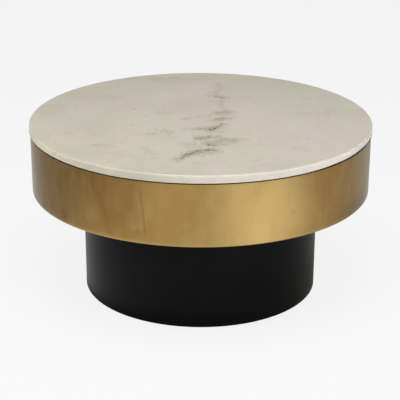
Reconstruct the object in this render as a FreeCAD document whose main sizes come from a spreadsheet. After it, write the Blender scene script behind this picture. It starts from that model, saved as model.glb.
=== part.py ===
import FreeCAD, Part
import math
import os
import re

import Sketcher
from FreeCAD import Rotation, Vector

# Round cocktail table: a stone slab bonded to a plywood board, a brass-finished sheet band around a
# welded steel frame, and a black sheet-steel drum that stands on four screw feet.
# Millimetres, +Z up, origin on the floor under the middle of the table, -Y is the front.

# The driving sizes: name, value and what it measures
SIZES = [
    # slab and the board that carries it
    ("top_diameter", "800", "stone slab, outside"),
    ("top_thickness", "18", "stone slab"),
    ("top_edge_round", "3", "eased upper edge of the slab"),
    ("top_edge_bevel", "1", "small bevel under the slab"),
    ("shadow_gap", "2.5", "dark line between slab and band, and height of the bonding pads"),
    ("bond_pad_diameter", "36", "bonding pads"),
    ("bond_pad_inset", "70", "outer ring of pads, in from the edge of the slab"),
    ("bond_pad_step", "180", "inner ring of pads, in from the outer ring"),
    ("outer_pad_count", "8", "pads in the outer ring"),
    ("inner_pad_count", "4", "pads in the inner ring"),
    ("board_thickness", "18", "plywood board"),
    ("board_play", "1", "board to band, all round"),
    # band
    ("top_overhang", "2", "slab past the band, all round"),
    ("band_height", "141.5", "from the underside of the lip to the upper edge"),
    ("band_wall", "1.5", "rolled sheet"),
    ("band_bend", "1.5", "inside radius of the folded lip"),
    ("lip_width", "25", "lip folded in at the bottom, from the outside of the band"),
    # welded frame and panel inside the band
    ("fit_gap", "0.3", "play where one piece slips into another before it is welded or screwed"),
    ("hoop_height", "30", "flat-bar hoops"),
    ("hoop_thickness", "4", "flat-bar hoops"),
    ("tube_side", "25", "square tube of the upper cross and the posts"),
    ("tube_wall", "1.5", "square tube"),
    ("tube_bend", "1.5", "inside corner radius of the square tube"),
    ("bar_width", "40", "flat bar of the lower cross"),
    ("bar_thickness", "6", "flat bar of the lower cross"),
    ("post_step", "65", "from a bolt to the post beside it, along an arm"),
    ("tab_length", "30", "fixing tabs on the hoops"),
    ("tab_width", "25", "fixing tabs"),
    ("tab_thickness", "4", "fixing tabs"),
    ("tab_corner", "4", "rounded inner corners of the tabs"),
    ("tab_hole_inset", "10", "hole in from the outer end of a tab"),
    ("fixings_per_quarter", "2", "tabs in each quarter of a hoop, with one screw each"),
    ("panel_thickness", "6", "underside panel"),
    # drum
    ("floor_gap", "2", "floor to the lower edge of the drum"),
    ("base_diameter", "555", "outside"),
    ("base_height", "247.5", "drum"),
    ("base_wall", "2", "rolled sheet"),
    ("plate_thickness", "4", "plate in the top of the drum"),
    ("foot_ring_width", "55", "ring that carries the feet"),
    ("foot_ring_thickness", "4", "ring that carries the feet"),
    # fasteners
    ("screw_diameter", "5", "board screws and lip screws"),
    ("screw_head_diameter", "9.5", "pan heads"),
    ("screw_head_height", "3", "pan heads"),
    ("screw_head_bevel", "1.2", "bevel around the pan heads"),
    ("screw_play", "0.25", "hole to shank, all round"),
    ("board_screw_bite", "14", "depth of a board screw in the board"),
    ("pilot_spare", "2", "pilot hole past the end of the screw"),
    ("lip_screw_spare", "2.5", "lip screw past its tab"),
    ("bolt_diameter", "8", "bolts, and thread of the feet"),
    ("bolt_inset", "52.5", "bolt axis in from the outside of the drum"),
    ("bolt_head_flats", "13", "across flats"),
    ("bolt_head_height", "5.3", "hexagon heads"),
    ("bolt_spare", "0.9", "bolt past its nut"),
    ("bolt_play", "0.5", "clearance hole, all round"),
    ("thread_play", "0.1", "nut to thread, all round"),
    ("washer_diameter", "22", "wide washers"),
    ("washer_thickness", "1.6", "wide washers"),
    ("nut_flats", "14", "weld nuts, across flats"),
    ("nut_height", "6.5", "weld nuts"),
    # screw feet
    ("foot_diameter", "38", "plastic foot, outside"),
    ("foot_shoulder", "22", "upper face of the foot"),
    ("foot_height", "8", "plastic foot"),
    ("foot_rim", "3", "floor to the top of its straight side"),
    ("foot_bevel", "1", "bevel at the floor"),
    ("foot_sole", "2.4", "floor to the socket"),
    ("foot_play", "0.3", "stud in its socket, and collar to the pieces above and below"),
    ("stud_head_diameter", "15", "captive head of the stud"),
    ("stud_head_height", "2.6", "captive head of the stud"),
    ("collar_flats", "13", "spanner collar, across flats"),
    ("collar_height", "5", "spanner collar"),
    ("stud_length", "36", "thread above the collar"),
    ("stud_bevel", "1", "lead-in at the top of the thread"),
]

# Levels and radii that follow from them
DERIVED = {
    "drum_top": "floor_gap + base_height",
    "plate_bottom": "drum_top - plate_thickness",
    "panel_top": "drum_top + panel_thickness",
    "bar_top": "panel_top + bar_thickness",
    "band_bottom": "drum_top - band_wall",
    "band_top": "band_bottom + band_height",
    "board_bottom": "band_top - board_thickness",
    "tube_bottom": "board_bottom - tube_side",
    "slab_bottom": "band_top + shadow_gap",
    "slab_top": "slab_bottom + top_thickness",
    "band_outer": "top_diameter / 2 - top_overhang",
    "band_inner": "band_outer - band_wall",
    "lip_inner": "band_outer - lip_width",
    "hoop_outer": "band_inner - fit_gap",
    "hoop_inner": "hoop_outer - hoop_thickness",
    "tube_reach": "sqrt(hoop_inner ^ 2 - (tube_side / 2) ^ 2) - fit_gap",
    "bar_reach": "sqrt(hoop_inner ^ 2 - (bar_width / 2) ^ 2) - fit_gap",
    "tab_reach": "sqrt(hoop_inner ^ 2 - (tab_width / 2) ^ 2) - fit_gap",
    "fixing_circle": "tab_reach - tab_hole_inset",
    "fixing_count": "4 * fixings_per_quarter",
    "first_fixing": "45 / fixings_per_quarter",
    "bolt_circle": "base_diameter / 2 - bolt_inset",
    "post_circle": "bolt_circle - post_step",
    "drum_inner": "base_diameter / 2 - base_wall",
    "ring_outer": "drum_inner - fit_gap",
    "foot_circle": "ring_outer - foot_ring_width / 2",
    "screw_hole": "screw_diameter / 2 + screw_play",
    "bolt_hole": "bolt_diameter / 2 + bolt_play",
    "thread_hole": "bolt_diameter / 2 + thread_play",
    "collar_bottom": "foot_height + foot_play",
    "collar_top": "collar_bottom + collar_height",
    "foot_ring_bottom": "collar_top + foot_play",
    "foot_ring_top": "foot_ring_bottom + foot_ring_thickness",
}

# The four arms of the frame and the four feet, with their turn about the table's axis in degrees
SIDES = {"right": 0, "back": 90, "left": 180, "front": 270}

doc = FreeCAD.newDocument("RoundCocktailTable")
sheet = doc.addObject("Spreadsheet::Sheet", "Sizes")
for row, (alias, value, note) in enumerate(SIZES, start=1):
    sheet.set(f"A{row}", note)
    sheet.set(f"B{row}", value)
    sheet.setAlias(f"B{row}", alias)
doc.recompute()
ALIASES = {alias for alias, value, note in SIZES}
subparts = []


# Formulas

def formula(text):
    """The text with derived names written out and every size read from the sheet."""

    def write_out(match):
        word = match.group(0)
        if word in DERIVED:
            return f"({formula(DERIVED[word])})"
        return f"Sizes.{word}" if word in ALIASES else word

    return re.sub(r"[a-z_]+", write_out, text)


def number(text):
    return float(sheet.evalExpression(formula(text)))


# Bodies and sketches

def new_body(label, turn=0):
    body = doc.addObject("PartDesign::Body", label)
    body.Label = label
    body.Placement.Rotation = Rotation(Vector(0, 0, 1), turn)
    subparts.append(body)
    return body


def origin_feature(body, role):
    return next(feature for feature in body.Origin.OriginFeatures if feature.Role == role)


def sketch_on(body, role, lift="0", turn="0"):
    """A sketch on one of the body's own planes, lifted off it and turned about its normal."""
    sketch = body.newObject("Sketcher::SketchObject", f"{body.Label}_sketch")
    sketch.AttachmentSupport = [(origin_feature(body, role), "")]
    sketch.MapMode = "FlatFace"
    sketch.setExpression("AttachmentOffset.Base.z", formula(lift))
    sketch.setExpression("AttachmentOffset.Rotation.Angle", formula(turn))
    return sketch


def constrain(sketch, kind, *where, value):
    index = sketch.addConstraint(Sketcher.Constraint(kind, *where, number(value)))
    sketch.setExpression(f"Constraints[{index}]", formula(value))


def place_point(sketch, geometry, vertex, x, y):
    constrain(sketch, "DistanceX", -1, 1, geometry, vertex, value=x)
    constrain(sketch, "DistanceY", -1, 1, geometry, vertex, value=y)


def circle(sketch, radius, x="0"):
    geometry = sketch.addGeometry(Part.Circle(Vector(number(x), 0, 0), Vector(0, 0, 1), number(radius)))
    place_point(sketch, geometry, 3, x, "0")
    constrain(sketch, "Radius", geometry, value=radius)


def outline(sketch, corners):
    """A closed outline of straight lines through corners that are pairs of formulas."""
    places = [Vector(number(x), number(y), 0) for x, y in corners]
    sides = []
    for start, end in zip(places, places[1:] + places[:1]):
        sides.append(sketch.addGeometry(Part.LineSegment(start, end)))
    for side, following in zip(sides, sides[1:] + sides[:1]):
        sketch.addConstraint(Sketcher.Constraint("Coincident", side, 2, following, 1))
    for side, (x, y) in zip(sides, corners):
        place_point(sketch, side, 1, x, y)


def rectangle(sketch, left, right, low, high):
    outline(sketch, [(left, low), (right, low), (right, high), (left, high)])


def rounded_square(sketch, x, y, side, radius):
    """A square about the point x, y whose lines run into rounded corners."""
    flat = f"(({side}) / 2 - ({radius}))"
    quarter_turn = math.pi / 2
    arcs = []
    for turns, (right, up) in enumerate([(1, -1), (1, 1), (-1, 1), (-1, -1)], start=-1):
        centre_x = f"{x} + {right} * {flat}"
        centre_y = f"{y} + {up} * {flat}"
        centre = Vector(number(centre_x), number(centre_y), 0)
        whole = Part.Circle(centre, Vector(0, 0, 1), number(radius))
        arc = Part.ArcOfCircle(whole, turns * quarter_turn, (turns + 1) * quarter_turn)
        arcs.append(sketch.addGeometry(arc))
        place_point(sketch, arcs[-1], 3, centre_x, centre_y)
        constrain(sketch, "Radius", arcs[-1], value=radius)
    for arc, following in zip(arcs, arcs[1:] + arcs[:1]):
        ends = sketch.Geometry[arc].EndPoint, sketch.Geometry[following].StartPoint
        line = sketch.addGeometry(Part.LineSegment(*ends))
        sketch.addConstraint(Sketcher.Constraint("Tangent", arc, 2, line, 1))
        sketch.addConstraint(Sketcher.Constraint("Tangent", line, 2, following, 1))


def tube_section(sketch, x, y):
    rounded_square(sketch, x, y, "tube_side", "tube_bend + tube_wall")
    rounded_square(sketch, x, y, "tube_side - 2 * tube_wall", "tube_bend")


def hexagon(sketch, flats, x="0"):
    corner = f"{flats} / 2 / cos(30 deg)"
    turns = range(0, 360, 60)
    outline(sketch, [(f"{x} + {corner} * cos({a} deg)", f"{corner} * sin({a} deg)") for a in turns])


# Features

def finish(body, feature):
    """Makes the feature the body's last one and works it out, so that the next can build on it."""
    body.Tip = feature
    doc.recompute()
    if {"Invalid", "Error"} & set(feature.State):
        raise RuntimeError(f"{feature.Name} failed")
    return feature


def pad(body, sketch, length, symmetric=False):
    feature = body.newObject("PartDesign::Pad", f"{body.Label}_pad")
    feature.Profile = sketch
    feature.SideType = "Symmetric" if symmetric else "One side"
    feature.setExpression("Length", formula(length))
    return finish(body, feature)


def pocket(body, sketch, depth):
    """Cuts down from the sketch, and makes sure that something was cut."""
    before = body.Shape.Volume
    feature = body.newObject("PartDesign::Pocket", f"{body.Label}_pocket")
    feature.Profile = sketch
    feature.setExpression("Length", formula(depth))
    finish(body, feature)
    if feature.Shape.Volume >= before:
        raise RuntimeError(f"{feature.Name} cut nothing")
    return feature


def revolve(body, sketch):
    """Turns a sketch on the XZ plane about its upright axis."""
    feature = body.newObject("PartDesign::Revolution", f"{body.Label}_revolution")
    feature.Profile = sketch
    feature.ReferenceAxis = (sketch, ["V_Axis"])
    feature.Angle = 360
    return finish(body, feature)


def ring_of(body, count, feature=None):
    """Repeats a feature, or the whole body where none is given, evenly about the table's axis."""
    pattern = body.newObject("PartDesign::PolarPattern", f"{body.Label}_pattern")
    if feature:
        pattern.Originals = [feature]
    else:
        pattern.TransformMode = "Whole shape"
    pattern.Axis = (origin_feature(body, "Z_Axis"), [""])
    pattern.Angle = 360
    pattern.setExpression("Occurrences", formula(count))
    return finish(body, pattern)


def dress_edges(body, kind, property_name, size, wanted):
    """Rounds or bevels the edges of the body that are wanted."""
    base = body.Tip
    names = [f"Edge{index}" for index, edge in enumerate(base.Shape.Edges, start=1) if wanted(edge)]
    feature = body.newObject(f"PartDesign::{kind}", f"{body.Label}_{kind.lower()}")
    feature.Base = (base, names)
    feature.setExpression(property_name, formula(size))
    return finish(body, feature)


def circle_at(level, radius):
    """Picks the circular edges of a radius at a level."""
    height = number(level)
    wanted_radius = number(radius)

    def wanted(edge):
        if not isinstance(edge.Curve, Part.Circle):
            return False
        same_level = abs(edge.Curve.Center.z - height) < 1e-6
        return same_level and abs(edge.Curve.Radius - wanted_radius) < 1e-6

    return wanted


def round_edge(body, level, radius, size):
    return dress_edges(body, "Fillet", "Radius", size, circle_at(level, radius))


def bevel_edge(body, level, radius, size):
    return dress_edges(body, "Chamfer", "Size", size, circle_at(level, radius))


def disc(body, bottom, radius, height, bore=None):
    sketch = sketch_on(body, "XY_Plane", lift=bottom)
    circle(sketch, radius)
    if bore:
        circle(sketch, bore)
    return pad(body, sketch, height)


def hole(body, top, depth, radius, x, turn="0"):
    """A round hole, cut down from a level."""
    sketch = sketch_on(body, "XY_Plane", lift=top, turn=turn)
    circle(sketch, radius, x=x)
    return pocket(body, sketch, depth)


def fixing_holes(body, top, depth):
    drilled = hole(body, top, depth, "screw_hole", "fixing_circle", turn="first_fixing")
    ring_of(body, "fixing_count", drilled)


def arm_holes(body, top, depth, radius, place):
    """One hole on each side of the table."""
    ring_of(body, str(len(SIDES)), hole(body, top, depth, radius, place))


# Slab, bonding pads, board and its screws

def make_marble_top():
    body = new_body("marble_top")
    disc(body, "slab_bottom", "top_diameter / 2", "top_thickness")
    round_edge(body, "slab_top", "top_diameter / 2", "top_edge_round")
    bevel_edge(body, "slab_bottom", "top_diameter / 2", "top_edge_bevel")


def make_bond_pads():
    body = new_body("bond_pads")
    outer_ring = "top_diameter / 2 - bond_pad_inset"
    rings = {outer_ring: "outer_pad_count", f"{outer_ring} - bond_pad_step": "inner_pad_count"}
    for place, count in rings.items():
        sketch = sketch_on(body, "XY_Plane", lift="band_top", turn="first_fixing")
        circle(sketch, "bond_pad_diameter / 2", x=place)
        ring_of(body, count, pad(body, sketch, "shadow_gap"))


def make_top_board():
    body = new_body("top_board")
    disc(body, "board_bottom", "band_inner - board_play", "board_thickness")
    pilot_depth = "board_screw_bite + pilot_spare"
    fixing_holes(body, f"board_bottom + {pilot_depth}", pilot_depth)


def make_screws(label, head_bottom, length):
    """Pan-head screws that point up, one through each fixing tab of a hoop."""
    body = new_body(label)
    head = sketch_on(body, "XY_Plane", lift=head_bottom, turn="first_fixing")
    circle(head, "screw_head_diameter / 2", x="fixing_circle")
    pad(body, head, "screw_head_height")
    bevel_edge(body, head_bottom, "screw_head_diameter / 2", "screw_head_bevel")
    shank = sketch_on(body, "XY_Plane", lift=f"{head_bottom} + screw_head_height", turn="first_fixing")
    circle(shank, "screw_diameter / 2", x="fixing_circle")
    pad(body, shank, length)
    ring_of(body, "fixing_count")


def make_board_screws():
    head_bottom = "board_bottom - tab_thickness - screw_head_height"
    make_screws("board_screws", head_bottom, "tab_thickness + board_screw_bite")


# Band, and the frame and panel inside it

def make_brass_band():
    body = new_body("brass_band")
    section = [
        ("lip_inner", "band_bottom"),
        ("band_outer", "band_bottom"),
        ("band_outer", "band_top"),
        ("band_inner", "band_top"),
        ("band_inner", "drum_top"),
        ("lip_inner", "drum_top"),
    ]
    sketch = sketch_on(body, "XZ_Plane")
    outline(sketch, section)
    revolve(body, sketch)
    round_edge(body, "band_bottom", "band_outer", "band_bend + band_wall")
    round_edge(body, "drum_top", "band_inner", "band_bend")
    fixing_holes(body, "drum_top", "band_wall")


def make_hoop(label, bottom):
    disc(new_body(label), bottom, "hoop_outer", "hoop_height", bore="hoop_inner")


def make_tabs(label, bottom):
    """Drilled tabs, square where they meet the hoop and rounded at the inner end."""
    body = new_body(label)
    inner_end = "tab_reach - tab_length"
    sketch = sketch_on(body, "XY_Plane", lift=bottom, turn="first_fixing")
    rectangle(sketch, inner_end, "tab_reach", "-tab_width / 2", "tab_width / 2")
    circle(sketch, "screw_hole", x="fixing_circle")
    pad(body, sketch, "tab_thickness")
    corner_distance = (number(inner_end) ** 2 + (number("tab_width") / 2) ** 2) ** 0.5

    def inner_corner(edge):
        middle = edge.CenterOfMass
        upright = len(edge.Vertexes) == 2 and abs(edge.Vertexes[0].Z - edge.Vertexes[1].Z) > 1e-6
        straight = isinstance(edge.Curve, Part.Line)
        return upright and straight and abs((middle.x ** 2 + middle.y ** 2) ** 0.5 - corner_distance) < 1e-6

    dress_edges(body, "Fillet", "Radius", "tab_corner", inner_corner)
    ring_of(body, "fixing_count")


def make_upper_cross():
    """Square tubes under the board: one right across, and two that butt against its sides."""
    middle = "tube_bottom + tube_side / 2"
    long_tube = new_body("upper_tube_long")
    sketch = sketch_on(long_tube, "YZ_Plane")
    tube_section(sketch, "0", middle)
    pad(long_tube, sketch, "2 * tube_reach", symmetric=True)
    for side in ("back", "front"):
        short_tube = new_body(f"upper_tube_{side}", turn=SIDES[side])
        sketch = sketch_on(short_tube, "YZ_Plane", lift="tube_side / 2")
        tube_section(sketch, "0", middle)
        pad(short_tube, sketch, "tube_reach - tube_side / 2")


def make_lower_cross():
    """Flat bars on the underside panel, laid out like the tubes above and drilled for the bolts."""
    long_bar = new_body("lower_bar_long")
    sketch = sketch_on(long_bar, "XY_Plane", lift="panel_top")
    rectangle(sketch, "-bar_reach", "bar_reach", "-bar_width / 2", "bar_width / 2")
    for place in ("-bolt_circle", "bolt_circle"):
        circle(sketch, "bolt_hole", x=place)
    pad(long_bar, sketch, "bar_thickness")
    for side in ("back", "front"):
        short_bar = new_body(f"lower_bar_{side}", turn=SIDES[side])
        sketch = sketch_on(short_bar, "XY_Plane", lift="panel_top")
        rectangle(sketch, "bar_width / 2", "bar_reach", "-bar_width / 2", "bar_width / 2")
        circle(sketch, "bolt_hole", x="bolt_circle")
        pad(short_bar, sketch, "bar_thickness")


def make_posts():
    """One post on each arm, between the lower and the upper cross."""
    for side, turn in SIDES.items():
        body = new_body(f"post_{side}", turn=turn)
        sketch = sketch_on(body, "XY_Plane", lift="bar_top")
        tube_section(sketch, "post_circle", "0")
        pad(body, sketch, "tube_bottom - bar_top")


def make_underside_panel():
    body = new_body("underside_panel")
    disc(body, "drum_top", "band_inner - band_bend - fit_gap", "panel_thickness")
    arm_holes(body, "panel_top", "panel_thickness", "bolt_hole", "bolt_circle")
    fixing_holes(body, "panel_top", "panel_thickness")


def make_lip_screws():
    length = "band_wall + panel_thickness + tab_thickness + lip_screw_spare"
    make_screws("lip_screws", "band_bottom - screw_head_height", length)


# Drum, its plate and the bolts that hold the frame on it

def make_base_drum():
    disc(new_body("base_drum"), "floor_gap", "base_diameter / 2", "base_height", bore="drum_inner")


def make_base_plate():
    body = new_body("base_plate")
    disc(body, "plate_bottom", "ring_outer", "plate_thickness")
    arm_holes(body, "drum_top", "plate_thickness", "bolt_hole", "bolt_circle")


def make_weld_nuts(label, bottom, place):
    body = new_body(label)
    sketch = sketch_on(body, "XY_Plane", lift=bottom)
    hexagon(sketch, "nut_flats", x=place)
    circle(sketch, "thread_hole", x=place)
    ring_of(body, str(len(SIDES)), pad(body, sketch, "nut_height"))


def make_bolt_washers():
    body = new_body("bolt_washers")
    sketch = sketch_on(body, "XY_Plane", lift="plate_bottom - washer_thickness")
    circle(sketch, "washer_diameter / 2", x="bolt_circle")
    circle(sketch, "bolt_hole", x="bolt_circle")
    ring_of(body, str(len(SIDES)), pad(body, sketch, "washer_thickness"))


def make_base_bolts():
    body = new_body("base_bolts")
    head_top = "plate_bottom - washer_thickness"
    head = sketch_on(body, "XY_Plane", lift=f"{head_top} - bolt_head_height")
    hexagon(head, "bolt_head_flats", x="bolt_circle")
    pad(body, head, "bolt_head_height")
    shank = sketch_on(body, "XY_Plane", lift=head_top)
    circle(shank, "bolt_diameter / 2", x="bolt_circle")
    pad(body, shank, f"bar_top + nut_height + bolt_spare - ({head_top})")
    ring_of(body, str(len(SIDES)))


# Ring inside the foot of the drum, and the screw feet

def make_foot_ring():
    body = new_body("foot_ring")
    inner = "ring_outer - foot_ring_width"
    disc(body, "foot_ring_bottom", "ring_outer", "foot_ring_thickness", bore=inner)
    arm_holes(body, "foot_ring_top", "foot_ring_thickness", "bolt_hole", "foot_circle")


def place_foot(body, turn):
    body.setExpression("Placement.Base.x", formula(f"foot_circle * cos({turn} deg)"))
    body.setExpression("Placement.Base.y", formula(f"foot_circle * sin({turn} deg)"))


def make_foot_stud(side, turn):
    """A threaded stud with a spanner collar, and below it the head that the plastic foot holds captive."""
    body = new_body(f"foot_stud_{side}")
    place_foot(body, turn)
    head_bottom = "foot_sole + foot_play"
    head_top = f"{head_bottom} + stud_head_height"
    stud_top = "collar_top + stud_length"
    radius = "bolt_diameter / 2"
    section = [
        ("0", head_bottom),
        ("stud_head_diameter / 2", head_bottom),
        ("stud_head_diameter / 2", head_top),
        (radius, head_top),
        (radius, f"{stud_top} - stud_bevel"),
        (f"{radius} - stud_bevel", stud_top),
        ("0", stud_top),
    ]
    sketch = sketch_on(body, "XZ_Plane")
    outline(sketch, section)
    revolve(body, sketch)
    collar = sketch_on(body, "XY_Plane", lift="collar_bottom")
    hexagon(collar, "collar_flats")
    pad(body, collar, "collar_height")


def make_foot_pad(side, turn):
    """The plastic foot, with the socket in which the stud's head turns."""
    body = new_body(f"foot_pad_{side}")
    place_foot(body, turn)
    rim = "foot_diameter / 2"
    socket = "stud_head_diameter / 2 + foot_play"
    socket_top = "foot_sole + stud_head_height + 2 * foot_play"
    mouth = "bolt_diameter / 2 + foot_play"
    section = [
        ("0", "0"),
        (f"{rim} - foot_bevel", "0"),
        (rim, "foot_bevel"),
        (rim, "foot_rim"),
        ("foot_shoulder / 2", "foot_height"),
        (mouth, "foot_height"),
        (mouth, socket_top),
        (socket, socket_top),
        (socket, "foot_sole"),
        ("0", "foot_sole"),
    ]
    sketch = sketch_on(body, "XZ_Plane")
    outline(sketch, section)
    revolve(body, sketch)


def export_subparts():
    """Writes one file for each sub-part, once all of them are sound."""
    doc.recompute()
    for item in doc.Objects:
        if {"Invalid", "Error"} & set(item.State):
            raise RuntimeError(f"{item.Name} failed")
    for body in subparts:
        if body.Shape.isNull() or not body.Shape.isValid():
            raise RuntimeError(f"{body.Label} has no valid shape")
    os.makedirs("parts", exist_ok=True)
    for body in subparts:
        body.Shape.exportStep(f"parts/{body.Label}.step")
        print(f"{body.Label}: {len(body.Shape.Solids)} solid(s), {body.Shape.Volume / 1000:.1f} cm3")


make_marble_top()
make_bond_pads()
make_top_board()
make_board_screws()
make_brass_band()
make_hoop("upper_hoop", "board_bottom - hoop_height")
make_hoop("lower_hoop", "panel_top")
make_tabs("board_tabs", "board_bottom - tab_thickness")
make_tabs("lip_tabs", "panel_top")
make_upper_cross()
make_lower_cross()
make_posts()
make_underside_panel()
make_lip_screws()
make_base_drum()
make_base_plate()
make_base_bolts()
make_bolt_washers()
make_weld_nuts("bolt_weld_nuts", "bar_top", "bolt_circle")
make_foot_ring()
make_weld_nuts("foot_weld_nuts", "foot_ring_top", "foot_circle")
for side_name, side_turn in SIDES.items():
    make_foot_stud(side_name, side_turn)
    make_foot_pad(side_name, side_turn)
export_subparts()
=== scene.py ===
import math

import bpy
import numpy as np
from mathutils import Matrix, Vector


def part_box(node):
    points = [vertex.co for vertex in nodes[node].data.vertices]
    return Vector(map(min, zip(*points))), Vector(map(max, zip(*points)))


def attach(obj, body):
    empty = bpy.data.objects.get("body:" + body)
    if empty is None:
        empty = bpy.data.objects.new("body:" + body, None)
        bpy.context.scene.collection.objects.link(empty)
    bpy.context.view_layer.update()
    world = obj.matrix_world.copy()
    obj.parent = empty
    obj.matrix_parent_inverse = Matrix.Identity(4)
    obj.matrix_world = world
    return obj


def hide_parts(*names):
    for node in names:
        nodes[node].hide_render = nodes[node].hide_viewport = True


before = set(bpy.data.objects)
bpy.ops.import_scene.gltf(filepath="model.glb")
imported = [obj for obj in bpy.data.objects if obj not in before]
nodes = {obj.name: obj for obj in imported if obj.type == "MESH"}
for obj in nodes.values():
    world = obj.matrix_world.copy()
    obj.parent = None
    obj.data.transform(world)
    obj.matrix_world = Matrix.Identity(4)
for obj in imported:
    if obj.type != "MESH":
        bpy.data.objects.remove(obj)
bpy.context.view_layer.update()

# round cocktail table: the frame gives every size and place, this script gives the looks
sides = ("right", "back", "left", "front")
mm = 0.001
print("frame loaded:", len(nodes), "nodes")


# shader sums: a wire is a socket of a finish, and every operator adds one Math node
class Wire:
    def __init__(self, finish, socket):
        self.finish = finish
        self.socket = socket

    def sum(self, operation, first, second=None):
        inputs = {0: first} if second is None else {0: first, 1: second}
        return self.finish.add("ShaderNodeMath", {"operation": operation}, inputs)

    def __add__(self, other):
        return self.sum("ADD", self, other)

    def __radd__(self, other):
        return self.sum("ADD", other, self)

    def __sub__(self, other):
        return self.sum("SUBTRACT", self, other)

    def __rsub__(self, other):
        return self.sum("SUBTRACT", other, self)

    def __mul__(self, other):
        return self.sum("MULTIPLY", self, other)

    def __rmul__(self, other):
        return self.sum("MULTIPLY", other, self)

    def root(self):
        return self.sum("SQRT", self)

    def size(self):  # without its sign
        return self.sum("ABSOLUTE", self)

    def most(self, other):
        return self.sum("MAXIMUM", self, other)

    def fold(self, step):  # to and fro between 0 and step
        return self.sum("PINGPONG", self, step)

    def unit(self):  # held between 0 and 1
        return self.finish.add("ShaderNodeClamp", None, {"Value": self})

    # 0 up to start, share from end on, smooth between; start may be the greater
    def rise(self, start, end, share=1):
        settings = {"interpolation_type": "SMOOTHSTEP"}
        inputs = {"Value": self, 1: start, 2: end, 3: 0, 4: share}
        return self.finish.add("ShaderNodeMapRange", settings, inputs)


# the nodes of a material, or of the world
class Finish:
    def __init__(self, name, shader="ShaderNodeBsdfPrincipled", world=None):
        self.material = world or bpy.data.materials.new(name)
        self.material.use_nodes = True
        self.tree = self.material.node_tree
        self.tree.nodes.clear()
        self.output = self.tree.nodes.new("ShaderNodeOutputWorld" if world else "ShaderNodeOutputMaterial")
        self.shader = self.tree.nodes.new(shader)
        self.tree.links.new(self.shader.outputs[0], self.output.inputs["Surface"])

    def fill(self, node, inputs):
        for key, value in inputs.items():
            if isinstance(value, Wire):
                self.tree.links.new(value.socket, node.inputs[key])
            else:
                node.inputs[key].default_value = value

    # any node: its type, its settings, the values or wires of its sockets, and the socket wanted
    def add(self, kind, settings=None, inputs=None, out=0):
        node = self.tree.nodes.new(kind)
        for key, value in (settings or {}).items():
            setattr(node, key, value)
        self.fill(node, inputs or {})
        return Wire(self, node.outputs[out])

    def place(self):
        return self.add("ShaderNodeTexCoord", out="Object")

    def split(self, vector):
        first = self.add("ShaderNodeSeparateXYZ", None, {0: vector})
        return [Wire(self, socket) for socket in first.socket.node.outputs]

    def vector(self, operation, first, second=None, out=0, **inputs):
        inputs.update({0: first} if second is None else {0: first, 1: second})
        return self.add("ShaderNodeVectorMath", {"operation": operation}, inputs, out)

    # the place moved by up to half of reach each way, by a noise of its own
    def wander(self, place, reach, *noise):
        sway = self.vector("SUBTRACT", self.noise(place, *noise, out="Color"), (0.5, 0.5, 0.5))
        return self.vector("ADD", place, self.vector("MULTIPLY", sway, reach))

    def stretch(self, vector, scale, move=(0, 0, 0)):
        return self.add("ShaderNodeMapping", None, {"Vector": vector, "Location": move, "Scale": scale})

    def noise(self, vector, scale, detail=3, rough=0.5, twist=0.0, out="Fac"):
        inputs = {"Vector": vector, "Scale": scale, "Detail": detail}
        inputs.update({"Roughness": rough, "Distortion": twist})
        return self.add("ShaderNodeTexNoise", None, inputs, out)

    # the noises of a table, by name, all on one vector; a row gives scale, detail, roughness and twist
    def noises(self, vector, table):
        return {name: self.noise(vector, *row) for name, row in table.items()}

    def mix(self, factor, first, second):
        return self.add("ShaderNodeMix", {"data_type": "RGBA"}, {0: factor, 6: first, 7: second}, 2)

    # layers of colour in order; a row gives its noise, where it starts and is full, its share and its tint
    def layered(self, colour, noise, rows, tints):
        for name, start, end, share, shade in rows:
            colour = self.mix(noise[name].rise(start, end, share), colour, tints[shade])
        return colour

    def bump(self, height, strength, depth):
        return self.add("ShaderNodeBump", None, {"Height": height, "Strength": strength, "Distance": depth})

    def ray(self, kind):
        return self.add("ShaderNodeLightPath", out=f"Is {kind} Ray")

    def mirrored(self):  # rays that come by way of metal or glass
        return self.ray("Glossy").most(self.ray("Transmission"))

    def set(self, **inputs):
        self.fill(self.shader, {key.replace("_", " "): value for key, value in inputs.items()})
        return self.material


def tint(red, green, blue):  # a colour as seen on screen, 0 to 255, turned into light
    def light(value):
        value = value / 255
        return value / 12.92 if value <= 0.04045 else ((value + 0.055) / 1.055) ** 2.4
    return (light(red), light(green), light(blue), 1)


# surfaces

# a corner of a profile becomes an arc: the tangent points lie radius / tan(half the corner's angle) from it
def easedProfile(corners, steps):
    points = []
    for index, (r, z, ease) in enumerate(corners):
        here = np.array((r, z))
        if not ease:
            points.append(here[None, :])
            continue
        before = np.array(corners[index - 1][:2]) - here
        after = np.array(corners[(index + 1) % len(corners)][:2]) - here
        before = before / np.linalg.norm(before)
        after = after / np.linalg.norm(after)
        half = math.acos(float(np.clip(before @ after, -1, 1))) / 2
        inward = (before + after) / np.linalg.norm(before + after)
        centre = here + inward * ease / math.sin(half)
        start = here + before * ease / math.tan(half) - centre
        end = here + after * ease / math.tan(half) - centre
        share = np.linspace(0, 1, steps + 1)[:, None]
        arc = start * np.cos(share * math.pi / 2) + end * np.sin(share * math.pi / 2)
        arc = arc / np.linalg.norm(arc, axis=1)[:, None] * ease
        points.append(centre + arc)
    return np.concatenate(points)


# faces of a grid of rows and columns whose columns close on themselves, and whose rows may do so too
def gridFaces(rows, columns, closeRows):
    across = np.arange(rows if closeRows else rows - 1)[:, None]
    along = np.arange(columns)[None, :]
    nextRow = (across + 1) % rows
    nextColumn = (along + 1) % columns
    first = across * columns + along
    second = across * columns + nextColumn
    third = nextRow * columns + nextColumn
    fourth = nextRow * columns + along
    return np.stack([first, second, third, fourth], axis=-1).reshape(-1, 4)


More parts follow.
